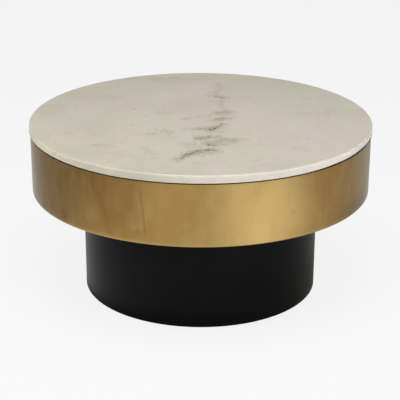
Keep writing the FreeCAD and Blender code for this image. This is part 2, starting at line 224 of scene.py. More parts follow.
def meshPiece(name, points, faces, sharp=38):
    mesh = bpy.data.meshes.new(name)
    mesh.from_pydata(points.tolist(), [], [tuple(dict.fromkeys(face)) for face in faces.tolist()])
    mesh.validate()
    mesh.polygons.foreach_set("use_smooth", np.ones(len(mesh.polygons), dtype=bool))
    mesh.set_sharp_from_angle(angle=math.radians(sharp))
    mesh.update()
    piece = bpy.data.objects.new(name, mesh)
    bpy.context.scene.collection.objects.link(piece)
    return piece


def anglesOf(columns):
    return np.linspace(0, 2 * math.pi, columns, endpoint=False)


# a profile of radius and height carried round an upright axis: x = r cos a, y = r sin a, z = height
# shape(radius, height, angle) may change the radius over the surface
def turnedGrid(profile, columns, closed, shape=None):
    angle = anglesOf(columns)[None, :]
    radius = np.repeat(profile[:, :1], columns, axis=1)
    height = np.repeat(profile[:, 1:2], columns, axis=1)
    if shape:
        radius = shape(radius, height, angle)
    points = np.stack([radius * np.cos(angle), radius * np.sin(angle), height], axis=-1)
    return points.reshape(-1, 3), gridFaces(len(profile), columns, closed)


# where the profile meets the axis, its ring of points becomes one point
def weldPoles(points, faces):
    unique, index = np.unique(np.round(points, 7), axis=0, return_inverse=True)
    return unique, index.reshape(-1)[faces]


# rows carried round the axis in the same way; their radius and height may each be a number or an
# array over the angles
def turnedRows(rows, columns):
    angle = anglesOf(columns)[None, :]
    radius = np.stack([np.broadcast_to(row[0], columns) for row in rows])
    height = np.stack([np.broadcast_to(row[1], columns) for row in rows])
    points = np.stack([radius * np.cos(angle), radius * np.sin(angle), height], axis=-1)
    return weldPoles(points.reshape(-1, 3), gridFaces(len(rows), columns, False))


# copies of a grid that stands on the axis, set out on a circle: moved along x, then turned about z
def ringOf(points, faces, circle, turns):
    moved = points + np.array((circle, 0, 0))
    cos, sin = np.cos(turns)[:, None], np.sin(turns)[:, None]
    x = moved[:, 0] * cos - moved[:, 1] * sin
    y = moved[:, 0] * sin + moved[:, 1] * cos
    z = np.broadcast_to(moved[:, 2], x.shape)
    copies = np.stack([x, y, z], axis=-1).reshape(-1, 3)
    steps = np.arange(len(turns))[:, None, None] * len(points)
    return copies, (faces[None] + steps).reshape(-1, faces.shape[1])


# a piece gets its material and its body, and takes the place of the nodes named
def dress(piece, material, body, slot, *replaced):
    piece.data.materials.clear()
    piece.data.materials.append(material)
    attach(piece, body)
    if replaced:
        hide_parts(*replaced)
    return piece


# nodes that keep their own shape get a material
def coat(material, *names):
    for name in names:
        nodes[name].data.materials.clear()
        nodes[name].data.materials.append(material)


# marble slab
marble = {
    "easeTop": 4.6 * mm,
    "easeBottom": 1.0 * mm,
    "arcSteps": 8,
    "columns": 320,
    "topRings": (0, 0.25, 0.5, 0.75, 0.92),
    "bottomRings": (0.9, 0.5, 0),
    "ground": tint(197, 190, 173),
    "pale": tint(204, 198, 183),
    "sage": tint(187, 180, 163),
    "rose": tint(198, 186, 176),
    "mint": tint(190, 187, 169),
    "smoke": tint(138, 131, 102),
    "ink": tint(74, 62, 30),
    "cream": tint(240, 231, 208),
    # the whiter tint of the rim, where painted light falls at the right
    "cut": tint(246, 240, 232),
    # dark resin of the underside, also the painted shade of the seam on the rim
    "resinAndShade": tint(22, 20, 18),
    "roughness": 0.26,
    "noises": {
        "cloud": (5, 6, 0.58, 0.3),
        "drift": (14, 4, 0.60, 0.5),
        "billow": (24, 6, 0.62, 0.6),
        "grain": (160, 4, 0.6),
        "wisp": (11, 6, 0.62, 1.4),
        "wispPatch": (9, 3),
        "speck": (60, 3, 0.55),
        "pore": (700, 2),
    },
    "layers": [
        ("drift", 0.52, 0.70, 0.80, "rose"),
        ("drift", 0.48, 0.30, 0.80, "mint"),
        ("billow", 0.52, 0.78, 0.40, "pale"),
        ("billow", 0.46, 0.28, 0.35, "sage"),
        ("grain", 0.55, 0.80, 0.20, "pale"),
    ],
    "fieldShare": 0.75,
    "fieldSway": ((14 * mm, 18 * mm, 0), 20, 3, 0.6),
    "veinSway": ((14 * mm, 22 * mm, 0), 90, 5, 0.72),
    "veinStretch": (1, 0.45, 1),
    "veinNoises": {"clump": (90, 6, 0.75, 0.6), "ragged": (210, 4, 0.80)},
    "smokeFray": 55 * mm,
    "smokeHeart": 0.1,
    "inkFray": 30 * mm,
    "inkShare": 0.84,
    "rimStart": 0.1 * mm,
    "rimEnd": 3.2 * mm,
    "rimPaler": 0.08,
    # painted light on the rim, in steps along x: start, end and share
    "rimLightSteps": [(-0.23, -0.33, 0.40), (-0.15, 0.02, 0.27), (0.12, 0.31, 0.30)],
    # painted shade of the seam up the rim: at both sides, at the right and at the far right front
    "seamShadeSides": 1.4 * mm,
    "seamShadeRight": 1.2 * mm,
    "seamShadeFarRight": 2.0 * mm,
}

# the dark veins that show, on the slab's own plane in metres: start, end, half width, strength
veins = [
    ((-0.052, -0.302), (-0.038, -0.291), 0.0065, 0.45),
    ((-0.038, -0.291), (-0.028, -0.273), 0.0080, 0.60),
    ((-0.028, -0.273), (-0.010, -0.244), 0.0120, 0.95),
    ((-0.010, -0.244), (0.003, -0.237), 0.0130, 1.00),
    ((0.003, -0.237), (0.018, -0.235), 0.0120, 0.90),
    ((0.018, -0.235), (0.032, -0.237), 0.0090, 0.60),
    ((0.016, -0.196), (0.030, -0.198), 0.0090, 0.75),
    ((0.023, -0.090), (0.031, -0.078), 0.0120, 0.90),
    ((0.031, -0.078), (0.040, -0.065), 0.0090, 0.75),
    ((0.040, -0.065), (0.048, -0.053), 0.0080, 0.45),
    ((0.000, -0.083), (0.023, -0.084), 0.0080, 0.40),
    ((0.004, -0.154), (0.015, -0.143), 0.0110, 0.26),
    ((0.046, -0.151), (0.056, -0.153), 0.0090, 0.35),
    ((0.072, -0.165), (0.086, -0.165), 0.0080, 0.28),
    ((0.040, -0.010), (0.060, -0.006), 0.0100, 0.28),
    ((0.049, 0.040), (0.062, 0.042), 0.0140, 0.40),
    ((0.040, 0.177), (0.057, 0.170), 0.0140, 0.24),
    ((0.026, 0.212), (0.036, 0.209), 0.0110, 0.22),
    ((-0.039, -0.007), (-0.031, -0.006), 0.0070, 0.18),
    ((-0.239, -0.209), (-0.222, -0.195), 0.0080, 0.26),
    ((-0.204, -0.330), (-0.180, -0.306), 0.0070, 0.25),
    ((0.248, 0.164), (0.264, 0.164), 0.0090, 0.35),
    ((0.300, 0.058), (0.316, 0.067), 0.0080, 0.22),
    ((-0.080, 0.345), (-0.062, 0.350), 0.0110, 0.35),
    ((-0.161, 0.068), (-0.156, 0.069), 0.0080, 0.35),
    ((-0.118, -0.128), (-0.108, -0.125), 0.0080, 0.30),
]

# the smoky patches round them, in the same terms
smokes = [
    ((-0.050, -0.300), (-0.024, -0.266), 0.022, 0.45),
    ((-0.024, -0.266), (0.026, -0.238), 0.034, 0.70),
    ((-0.020, -0.200), (0.004, -0.216), 0.040, 0.34),
    ((0.022, -0.188), (0.046, -0.178), 0.036, 0.62),
    ((0.046, -0.176), (0.072, -0.168), 0.028, 0.62),
    ((0.072, -0.167), (0.104, -0.160), 0.014, 0.50),
    ((0.000, -0.153), (0.030, -0.145), 0.026, 0.80),
    ((-0.034, -0.086), (0.004, -0.083), 0.016, 0.42),
    ((0.004, -0.083), (0.026, -0.085), 0.020, 0.70),
    ((0.024, -0.090), (0.050, -0.052), 0.026, 0.70),
    ((0.026, -0.106), (0.046, -0.110), 0.018, 0.35),
    ((0.036, -0.012), (0.064, -0.005), 0.024, 0.65),
    ((0.024, 0.038), (0.044, 0.039), 0.016, 0.34),
    ((0.044, 0.039), (0.064, 0.043), 0.030, 0.58),
    ((0.026, 0.212), (0.038, 0.208), 0.020, 0.40),
    ((0.030, 0.181), (0.058, 0.170), 0.024, 0.58),
    ((0.058, 0.170), (0.066, 0.163), 0.016, 0.40),
    ((0.032, 0.138), (0.052, 0.138), 0.022, 0.36),
    ((0.049, 0.118), (0.051, 0.079), 0.018, 0.32),
    ((0.045, 0.290), (0.047, 0.253), 0.016, 0.34),
    ((0.047, 0.253), (0.043, 0.217), 0.014, 0.30),
    ((-0.039, -0.007), (-0.014, 0.007), 0.012, 0.32),
    ((-0.014, 0.007), (0.005, 0.020), 0.010, 0.26),
    ((0.005, 0.020), (0.036, -0.009), 0.010, 0.26),
    ((-0.092, -0.100), (-0.078, -0.110), 0.030, 0.38),
    ((-0.074, -0.117), (-0.062, -0.146), 0.012, 0.28),
    ((-0.236, -0.206), (-0.200, -0.214), 0.020, 0.26),
    ((-0.097, 0.040), (-0.070, 0.031), 0.014, 0.30),
    ((0.240, 0.038), (0.300, 0.044), 0.016, 0.22),
    ((0.206, -0.138), (0.233, -0.145), 0.022, 0.22),
    ((0.201, -0.216), (0.226, -0.230), 0.022, 0.20),
    ((-0.236, 0.166), (-0.204, 0.164), 0.026, 0.24),
    ((-0.120, -0.130), (-0.104, -0.122), 0.018, 0.34),
    ((-0.122, -0.222), (-0.106, -0.262), 0.018, 0.22),
    ((-0.128, 0.336), (-0.108, 0.340), 0.020, 0.26),
    ((-0.302, -0.128), (-0.284, -0.119), 0.018, 0.26),
]

# soft fields of colour: centre, radius and which tint
fields = [
    ((-0.013, -0.166), 0.10, "mint"),
    ((-0.050, -0.270), 0.12, "mint"),
    ((0.100, -0.272), 0.11, "mint"),
    ((-0.010, -0.206), 0.05, "rose"),
    ((0.100, 0.064), 0.14, "rose"),
    ((0.260, -0.100), 0.20, "rose"),
    ((0.250, 0.140), 0.20, "mint"),
    ((0.250, -0.220), 0.16, "rose"),
    ((0.000, 0.200), 0.12, "rose"),
    ((-0.240, 0.240), 0.20, "sage"),
    ((0.160, 0.310), 0.20, "sage"),
]


# the strongest of a list of runs at each point; a run fades out over its half width, measured from the
# nearest point of the stretch between its start and its end; fray adds to that distance, and heart is the
# share of the width that stays full
def veinMask(f, place, runs, fray, heart=0):
    mask = None
    for start, end, width, strength in runs:
        run = np.subtract(end, start)
        away = f.vector("SUBTRACT", place, (*start, 0))
        share = f.vector("DOT_PRODUCT", away, (*(run / (run @ run)), 0), out="Value").unit()
        away = f.vector("SUBTRACT", away, f.vector("SCALE", (*run, 0), Scale=share))
        part = (f.vector("LENGTH", away, out="Value") + fray).rise(width, width * heart, strength)
        mask = part if mask is None else mask.most(part)
    return mask


# broad clouds and the soft fields, then finer clouds and grain
def marbleGround(f, noise, soft):
    colour = f.mix(noise["cloud"].rise(0.32, 0.68), marble["sage"], marble["ground"])
    for centre, radius, name in fields:
        away = f.vector("DISTANCE", soft, (*centre, 0), out="Value")
        colour = f.mix(away.rise(radius, 0, marble["fieldShare"]), colour, marble[name])
    return f.layered(colour, noise, marble["layers"], marble)


# ragged clumps of smoke, then dark broken cores
def marbleVeins(f, colour, place, soft):
    noise = f.noises(f.stretch(place, marble["veinStretch"]), marble["veinNoises"])
    clump, ragged = noise["clump"], noise["ragged"]
    bent = f.wander(soft, *marble["veinSway"])
    haze = veinMask(f, bent, smokes, (0.5 - clump) * marble["smokeFray"], marble["smokeHeart"])
    colour = f.mix(haze * (clump.rise(0.40, 0.58, 0.65) + 0.25), colour, marble["smoke"])
    core = veinMask(f, bent, veins, (0.5 - ragged) * marble["inkFray"])
    core = (core * (ragged.rise(0.43, 0.58) + 0.15)).unit()
    return f.mix(core * marble["inkShare"], colour, marble["ink"])


# wisps where their noise crosses its middle, and small specks, all faint
def marbleFlecks(f, colour, noise):
    wisp = (noise["wisp"] - 0.5).size().rise(0.020, 0, 0.16) * noise["wispPatch"].rise(0.48, 0.66)
    colour = f.mix(wisp, colour, marble["smoke"])
    return f.mix(noise["speck"].rise(0.62, 0.74, 0.30), colour, marble["smoke"])


# the rim is paler than the face, partly its own sawn tone and partly painted light: steps along x paint
# the light from both sides, and it is whiter to the right; dark resin covers the underside, and painted
# shade of the seam creeps up a little from it at both sides, more at the right
def marbleRim(f, colour, place, noise, rim, underside):
    x, y, z = f.split(place)
    edge = f.mix(x.rise(-0.30, 0.20), marble["cream"], marble["cut"])
    paler = marble["rimPaler"] + noise["billow"] * 0.2
    # steps of painted light along the rim
    for step in marble["rimLightSteps"]:
        paler = paler + x.rise(*step)
    colour = f.mix(rim * paler * (0.6 + noise["drift"] * 0.8), colour, edge)
    # painted shade of the seam, raised up the rim at the sides, over the underside's resin
    resinAndSeamShade = x.size().rise(0.18, 0.34, marble["seamShadeSides"]) + x.rise(0.20, 0.36, marble["seamShadeRight"])
    resinAndSeamShade = resinAndSeamShade + x.rise(0.31, 0.375, marble["seamShadeFarRight"]) * y.rise(-0.03, -0.12) + underside
    return f.mix(z.rise(resinAndSeamShade + 0.5 * mm, resinAndSeamShade + 0.1 * mm), colour, marble["resinAndShade"])


def marbleFinish(underside, face):
    f = Finish("polishedMarble")
    place = f.place()
    noise = f.noises(place, marble["noises"])
    soft = f.wander(f.vector("MULTIPLY", place, (1, 1, 0)), *marble["fieldSway"])
    rim = f.split(place)[2].rise(face - marble["rimStart"], face - marble["rimEnd"])
    colour = marbleGround(f, noise, soft)
    colour = marbleVeins(f, colour, place, soft)
    colour = marbleFlecks(f, colour, noise)
    colour = marbleRim(f, colour, place, noise, rim, underside)
    pore = noise["pore"].rise(0.66, 0.80)
    rough = marble["roughness"] + noise["cloud"] * 0.06 + pore * 0.10 + rim * 0.14
    normal = f.bump(pore * -1 + noise["grain"] * 0.3, 0.05, 0.4 * mm)
    return f.set(Base_Color=colour, Roughness=rough, Normal=normal)


# a disc turned from its profile: flat face, eased rim, flat underside
def marbleSlab():
    low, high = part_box("marble_top")
    radius, ease = high.x, marble["easeTop"]
    corners = [(radius * share, high.z, 0) for share in marble["topRings"]]
    corners += [(radius - 2 * ease, high.z, 0), (radius, high.z, ease)]
    corners += [(radius, low.z, marble["easeBottom"])]
    corners += [(radius * share, low.z, 0) for share in marble["bottomRings"]]
    profile = easedProfile(corners, marble["arcSteps"])
    points, faces = weldPoles(*turnedGrid(profile[::-1], marble["columns"], False))
    piece = meshPiece("marble_slab", points, faces)
    return dress(piece, marbleFinish(low.z, high.z), "table", "marble", "marble_top")


slab = marbleSlab()
print("marble slab:", len(slab.data.polygons), "faces")


# brass band
brass = {
    "wall": 1.5 * mm,
    "lip": 25 * mm,
    "bend": 1.5 * mm,
    "edge": 0.45 * mm,
    "arcSteps": 6,
    "columns": 720,
    "levels": 26,
    "insideStep": 6,
    "wave": 0.12 * mm,
    "bright": tint(195, 165, 101),
    "honey": tint(171, 139, 75),
    "brown": tint(153, 121, 62),
    "umber": tint(108, 79, 34),
    # tint of the painted highlight right of the middle
    "paintedHighlight": tint(200, 172, 111),
    # chestnut: painted shade at the left; copper, below: a painted reflection further right
    "chestnut": tint(172, 126, 57),
    "amber": tint(164, 121, 46),
    "copper": tint(186, 136, 52),
    # painted shade of the seam, on the band's top edge
    "topEdgeShadeColour": tint(26, 23, 19),
    "lacquer": 0.5,
    "lacquerRoughness": 0.30,
    "grazing": (0.78, 0.88, 0.95, 1),
    "roughness": 0.34,
    "blotStretch": (1, 1, 0.55),
    "blotMove": (0.31, 0.17, 0.05),
    "blots": {
        "patch": (7, 3, 0.5, 0.4),
        "tone": (15, 3, 0.5, 0.3),
        "mottle": (26, 4, 0.50, 0.3),
        "stainPatch": (9, 2),
    },
    "streaks": {
        "stroke": (0.10, 60, 3, 0.55),
        "hairline": (0.02, 900, 2, 0.6),
        "drip": (0.05, 46, 2, 0.5),
    },
    "layers": [
        ("tone", 0.52, 0.66, 0.26, "amber"),
        ("tone", 0.48, 0.34, 0.26, "bright"),
        ("mottle", 0.48, 0.78, 0.20, "bright"),
    ],
    "stainSway": ((6 * mm, 10 * mm, 0), 70, 3, 0.6),
    "stainFray": 12 * mm,
    # height of the painted reflection at the foot
    "footStart": 10 * mm,
    "footEnd": 1 * mm,
    # where the painted shade of the top edge starts and where it is full
    "topEdgeShadeStart": 0.6 * mm,
    "topEdgeShadeEnd": 0.2 * mm,
}

# stains of the front, as seen square from there, x and z in metres: start, end, half width, strength
stains = [
    ((-0.125, 0.365), (-0.116, 0.275), 0.006, 0.36),
    ((-0.134, 0.298), (-0.132, 0.268), 0.006, 0.21),
    ((-0.290, 0.365), (-0.272, 0.300), 0.022, 0.20),
    ((-0.214, 0.343), (-0.205, 0.304), 0.014, 0.20),
    ((-0.182, 0.313), (-0.165, 0.301), 0.014, 0.17),
    ((-0.243, 0.378), (-0.241, 0.335), 0.009, 0.14),
    ((-0.206, 0.380), (-0.203, 0.352), 0.007, 0.14),
    ((0.196, 0.314), (0.200, 0.306), 0.008, 0.12),
    ((-0.144, 0.332), (-0.137, 0.304), 0.026, 0.22),
]


# slow patches, then painted light on the front: browner to both sides, as painted shade at the left and
# a coppery painted reflection further right, and paler right of the middle, a painted highlight; then tones,
# mottling, darker at the left as painted shade, and strokes
def brassPatina(f, noise, x, front):
    # masks of painted light on the front: shade at the left, highlight right of the middle, reflection
    # further right
    left = x.rise(-0.05, -0.28) * front
    paintedHighlight = x.rise(-0.04, 0.08) * x.rise(0.32, 0.18) * front
    right = x.rise(0.20, 0.30) * x.rise(0.39, 0.35) * front
    colour = f.mix(noise["patch"].rise(0.28, 0.72), brass["brown"], brass["honey"])
    colour = f.mix(left * 0.45, colour, brass["chestnut"])
    colour = f.mix(paintedHighlight * 0.50, colour, brass["paintedHighlight"])
    colour = f.mix(right * 0.45, colour, brass["copper"])
    colour = f.layered(colour, noise, brass["layers"], brass)
    # mottling, with more painted shade at the left
    colour = f.mix(noise["mottle"].rise(0.50, 0.28) * (0.10 + left * 0.30), colour, brass["umber"])
    return f.mix(noise["stroke"].rise(0.55, 0.80, 0.14), colour, brass["brown"])


# thin runs of stain all round, and the stains of the front
def brassStain(f, noise, x, z, front):
    drip = noise["drip"].rise(0.67, 0.72, 0.40) * noise["stainPatch"].rise(0.50, 0.64)
    flat = f.wander(f.add("ShaderNodeCombineXYZ", None, {0: x, 1: z}), *brass["stainSway"])
    return drip.most(veinMask(f, flat, stains, (0.5 - noise["mottle"]) * brass["stainFray"]) * front)


# a paler foot, a painted reflection along the band's bottom edge, and painted shade at the lower right
def brassFoot(f, colour, x, z, front, bottom):
    foot = z.rise(bottom + brass["footStart"], bottom + brass["footEnd"], 0.35)
    colour = f.mix(foot, colour, brass["bright"])
    # painted shade at the lower right
    lower = z.rise(0.305, 0.262) * x.size().rise(0.25, 0.34) * (0.05 + x.rise(0, 0.1, 0.40)) * front
    return f.mix(lower, colour, brass["umber"])


# the blots are stretched noises, the streaks are noises drawn out upright; the top edge is painted dark as
# painted shade of the seam under the slab, least at the front and back
def brassFinish(bottom, top):
    f = Finish("antiqueBrass")
    place = f.place()
    x, y, z = f.split(place)
    front = y.rise(0, -0.12)
    noise = f.noises(f.stretch(place, brass["blotStretch"], brass["blotMove"]), brass["blots"])
    for name, (squeeze, *row) in brass["streaks"].items():
        noise[name] = f.noise(f.stretch(place, (1, 1, squeeze)), *row)
    mottle, stroke, hairline = noise["mottle"], noise["stroke"], noise["hairline"]
    stain = brassStain(f, noise, x, z, front)
    colour = brassPatina(f, noise, x, front)
    colour = f.mix(stain, colour, brass["umber"])
    colour = f.mix(hairline.rise(0.5, 0.8, 0.08), colour, brass["umber"])
    colour = brassFoot(f, colour, x, z, front, bottom)
    # painted shade of the seam on the top edge
    topEdgeShade = z.rise(top - brass["topEdgeShadeStart"], top - brass["topEdgeShadeEnd"]) * (0.45 + x.size().rise(0.08, 0.26, 0.5))
    colour = f.mix(topEdgeShade, colour, brass["topEdgeShadeColour"])
    rough = brass["roughness"] + topEdgeShade * 0.2 + (mottle - 0.5) * 0.10 + (stroke - 0.5) * 0.05 + stain * 0.12
    normal = f.bump(hairline * 0.4 + stroke * 0.6, 0.07, 0.5 * mm)
    return f.set(Base_Color=colour, Metallic=1 - topEdgeShade, Roughness=rough, Normal=normal,
                 Coat_Weight=brass["lacquer"] * (1 - topEdgeShade), Coat_Roughness=brass["lacquerRoughness"],
                 Specular_Tint=brass["grazing"])


# waves of the rolled sheets: share, waves in a turn, phase
sheetWaves = ((1, 5, 1.3), (0.7, 11, 0.4), (0.5, 23, 2.1))


# a rolled sheet isn't quite true: its radius falls short by up to size, in slow waves round the sheet whose
# depth changes up its height
def rolledWave(size, height):
    full = sum(row[0] for row in sheetWaves)

    def shape(radius, z, angle):
        wave = sum(share * np.sin(count * angle + phase) for share, count, phase in sheetWaves)
        sway = 0.6 + 0.4 * np.cos(2 * math.pi * z / height + 2 * angle)
        return radius + size * (wave * sway - full) / (2 * full)
    return shape


# a sheet whose profile runs round the folded lip, up the outside and down the inside
def brassBand():
    low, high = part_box("brass_band")
    outer = high.x
    inner = outer - brass["wall"]
    lipInner = outer - brass["lip"]
    lipTop = low.z + brass["wall"]
    edge, bend = brass["edge"], brass["bend"]
    levels = np.linspace(low.z, high.z, brass["levels"])[2:-1]
    corners = [(lipInner, low.z, edge), (outer, low.z, bend + brass["wall"])]
    corners += [(outer, level, 0) for level in levels]
    corners += [(outer, high.z, edge), (inner, high.z, edge)]
    corners += [(inner, level, 0) for level in levels[::-brass["insideStep"]]]
    corners += [(inner, lipTop, bend), (lipInner, lipTop, edge)]
    profile = easedProfile(corners, brass["arcSteps"])
    wave = rolledWave(brass["wave"], high.z - low.z)
    points, faces = turnedGrid(profile, brass["columns"], True, wave)
    piece = meshPiece("brass_sheet", points, faces)
    return dress(piece, brassFinish(low.z, high.z), "table", "antique_brass", "brass_band")


band = brassBand()
print("brass band:", len(band.data.polygons), "faces")


# black drum
drum = {
    "wall": 2.0 * mm,
    "edge": 0.8 * mm,
    "arcSteps": 4,
    "columns": 480,
    "levels": 14,
    "insideStep": 4,
    "wave": 0.10 * mm,
    "black": tint(8, 8, 8),
    "worn": tint(14, 14, 13),
    "roughness": 0.38,
    "gloss": 0.085,
    "noises": {"cloud": (11, 4, 0.6), "peel": (520, 2, 0.5), "dust": (1500, 2, 0.5)},
}


def powderFinish():
    f = Finish("blackPowderCoat")
    noise = f.noises(f.place(), drum["noises"])
    cloud, dust = noise["cloud"], noise["dust"].rise(0.66, 0.82)
    colour = f.mix(cloud.rise(0.35, 0.75, 0.6) + dust * 0.2, drum["black"], drum["worn"])
    rough = drum["roughness"] + (cloud - 0.5) * 0.10 + dust * 0.06
    normal = f.bump(noise["peel"], 0.10, 0.4 * mm)
    return f.set(Base_Color=colour, Roughness=rough, Specular_IOR_Level=drum["gloss"], Normal=normal)


def blackDrum():
    low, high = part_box("base_drum")
    outer, edge = high.x, drum["edge"]
    inner = outer - drum["wall"]
    levels = np.linspace(low.z, high.z, drum["levels"])[1:-1]
    corners = [(inner, low.z, edge), (outer, low.z, edge)]
    corners += [(outer, level, 0) for level in levels]
    corners += [(outer, high.z, edge), (inner, high.z, edge)]
    corners += [(inner, level, 0) for level in levels[::-drum["insideStep"]]]
    profile = easedProfile(corners, drum["arcSteps"])
    wave = rolledWave(drum["wave"], high.z - low.z)
    points, faces = turnedGrid(profile, drum["columns"], True, wave)
    return dress(meshPiece("drum_sheet", points, faces), powder, "table", "black_coat", "base_drum")


powder = powderFinish()
base = blackDrum()
coat(powder, "base_plate", "foot_ring")
print("black drum:", len(base.data.polygons), "faces")


# screws, bolts and screw feet

# radius of a hexagon at an angle: half its flats over the cosine of the angle from the nearest flat's middle
def hexRadius(flats, angle):
    return flats / 2 / np.cos((angle + math.pi / 6) % (math.pi / 3) - math.pi / 6)


# a hexagon whose corners are turned off by a cone, in degrees: the further a corner lies outside the cone's
# circle, a share of the flats, the lower its edge
def hexRows(flats, low, high, columns, cone=30, share=0.97):
    corner = hexRadius(flats, anglesOf(columns))
    circle = flats / 2 * share
    trim = (corner - circle) * math.tan(math.radians(cone))
    return [(circle, low), (corner, low + trim), (corner, high - trim), (circle, high)]


zinc = {
    "plate": tint(176, 178, 180),
    "dull": tint(138, 140, 140),
    "gold": tint(186, 178, 158),
    "roughness": 0.34,
    "noises": {"bloom": (60, 4, 0.6), "sheen": (140, 3), "fleck": (900, 3, 0.6)},
}


def zincFinish():
    f = Finish("zincPlate")
    noise = f.noises(f.place(), zinc["noises"])
    bloom, fleck = noise["bloom"], noise["fleck"]
    colour = f.mix(bloom.rise(0.35, 0.65), zinc["dull"], zinc["plate"])
    colour = f.mix(noise["sheen"].rise(0.5, 0.75, 0.4), colour, zinc["gold"])
    rough = zinc["roughness"] + (fleck - 0.5) * 0.20 + bloom * 0.08
    normal = f.bump(fleck, 0.10, 0.2 * mm)
    return f.set(Base_Color=colour, Metallic=1.0, Roughness=rough, Normal=normal)


screw = {
    "columns": 36,
    "head": 9.5 * mm,
    "headHeight": 3.0 * mm,
    "flat": 0.55,
    "domeSteps": 8,
    "shank": 5.0 * mm,
    "chamfer": 0.5 * mm,
    "socket": 3.0 * mm,
    "socketDepth": 1.7 * mm,
    "first": 22.5,
    "count": 8,
    "sharp": 28,
}


# pan head that faces down: hexagon socket, flat, quarter ellipse out to the rim, then the shank
def lipScrews():
    low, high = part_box("lip_screws")
    half, shank, chamfer = screw["head"] / 2, screw["shank"] / 2, screw["chamfer"]
    top, socketEnd = low.z + screw["headHeight"], low.z + screw["socketDepth"]
    socket = hexRadius(screw["socket"], anglesOf(screw["columns"]))
    flat = half * screw["flat"]
    swell = np.linspace(0, math.pi / 2, screw["domeSteps"])
    rows = [(0, socketEnd), (socket, socketEnd), (socket, low.z)]
    rows += [(flat + (half - flat) * math.sin(a), top - screw["headHeight"] * math.cos(a)) for a in swell]
    rows += [(shank, top), (shank, high.z - chamfer), (shank - chamfer, high.z), (0, high.z)]
    turns = np.radians(screw["first"] + np.arange(screw["count"]) * 360 / screw["count"])
    circle = (high.x - half) / math.cos(math.radians(screw["first"]))
    points, faces = ringOf(*turnedRows(rows, screw["columns"]), circle, turns)
    piece = meshPiece("lip_pan_screws", points, faces, screw["sharp"])
    return dress(piece, zincPlate, "table", "zinc_steel", "lip_screws")


bolt = {
    "columns": 48,
    "count": 4,
    "circle": 225 * mm,
    "flats": 13 * mm,
    "headHeight": 5.3 * mm,
    "shank": 8 * mm,
    "chamfer": 1 * mm,
    "sharp": 25,
}


# hexagon head that faces down, flat where it meets the washer, then the shank
def baseBolts():
    low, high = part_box("base_bolts")
    top, half, chamfer = low.z + bolt["headHeight"], bolt["shank"] / 2, bolt["chamfer"]
    rows = [(0, low.z)] + hexRows(bolt["flats"], low.z, top, bolt["columns"])[:3]
    rows += [(rows[-1][0], top), (half, top)]
    rows += [(half, high.z - chamfer), (half - chamfer, high.z), (0, high.z)]
    turns = np.radians(np.arange(bolt["count"]) * 360 / bolt["count"])
    points, faces = ringOf(*turnedRows(rows, bolt["columns"]), bolt["circle"], turns)
    piece = meshPiece("base_hex_bolts", points, faces, bolt["sharp"])
    return dress(piece, zincPlate, "table", "zinc_steel", "base_bolts")


stud = {
    "columns": 40,
    "head": 15 * mm,
    "headHeight": 2.6 * mm,
    "ease": 0.4 * mm,
    "flats": 13 * mm,
    "collarLow": 8.3 * mm,
    "collarHigh": 13.3 * mm,
    "thread": 8 * mm,
    "pitch": 1.25 * mm,
    "toothDepth": 0.7 * mm,
    "rowsPerTurn": 8,
    "leadIn": 1.0 * mm,
    "sharp": 28,
}


# screw thread: at height z and angle a the radius falls from the crest by the tooth depth times how far
# z / pitch - a / turn is from the middle of its tooth; the tooth fades in at the collar and the crest falls
# away at the lead-in
def threadRows(low, high, columns):
    turn = anglesOf(columns)[None, :] / (2 * math.pi)
    count = int((high - low) / stud["pitch"] * stud["rowsPerTurn"])
    height = np.linspace(low, high, count)[:, None]
    phase = (height / stud["pitch"] - turn) % 1
    fade = np.clip((height - low) / stud["pitch"], 0, 1)
    radius = stud["thread"] / 2 - stud["toothDepth"] * fade * np.abs(2 * phase - 1)
    radius = np.minimum(radius, stud["thread"] / 2 - np.clip(height - high + stud["leadIn"], 0, None))
    return [(radius[row], height[row, 0]) for row in range(count)]


# captive head, neck, hexagon collar, then the thread
def footStud(side):
    low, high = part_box(f"foot_stud_{side}")
    half, neck, ease = stud["head"] / 2, stud["thread"] / 2, stud["ease"]
    headTop = low.z + stud["headHeight"]
    rows = [(0, low.z), (half - ease, low.z), (half, low.z + ease)]
    rows += [(half, headTop - ease), (half - ease, headTop), (neck, headTop), (neck, stud["collarLow"])]
    rows += hexRows(stud["flats"], stud["collarLow"], stud["collarHigh"], stud["columns"])
    rows += threadRows(stud["collarHigh"], high.z, stud["columns"]) + [(0, high.z)]
    points, faces = turnedRows(rows, stud["columns"])
    points = points + np.array(((low.x + high.x) / 2, (low.y + high.y) / 2, 0))
    piece = meshPiece(f"threaded_stud_{side}", points, faces, stud["sharp"])
    return dress(piece, zincPlate, f"stud_{side}", "zinc_steel", f"foot_stud_{side}")


footPad = {
    "columns": 64,
    "arcSteps": 4,
    "shoulder": 22 * mm,
    "rim": 3 * mm,
    "bevel": 1 * mm,
    "sole": 2.4 * mm,
    "socket": 15.6 * mm,
    "socketTop": 5.6 * mm,
    "mouth": 8.6 * mm,
    "ease": 0.5 * mm,
    "mouthEase": 0.3 * mm,
    "sharp": 40,
    "black": tint(36, 36, 35),
    "scuffed": tint(58, 57, 55),
    "scuffHeight": 3 * mm,
    "roughness": 0.52,
}


def nylonFinish():
    f = Finish("blackNylon")
    place = f.place()
    grain = f.noise(place, 1200, 3, 0.6)
    low = f.split(place)[2].rise(footPad["scuffHeight"], 0)
    scuff = f.noise(place, 260, 4, 0.7).rise(0.5, 0.8) * low
    colour = f.mix(scuff * 0.8 + grain * 0.1, footPad["black"], footPad["scuffed"])
    rough = footPad["roughness"] + grain * 0.12 + scuff * 0.10
    return f.set(Base_Color=colour, Roughness=rough, Normal=f.bump(grain, 0.15, 0.3 * mm))


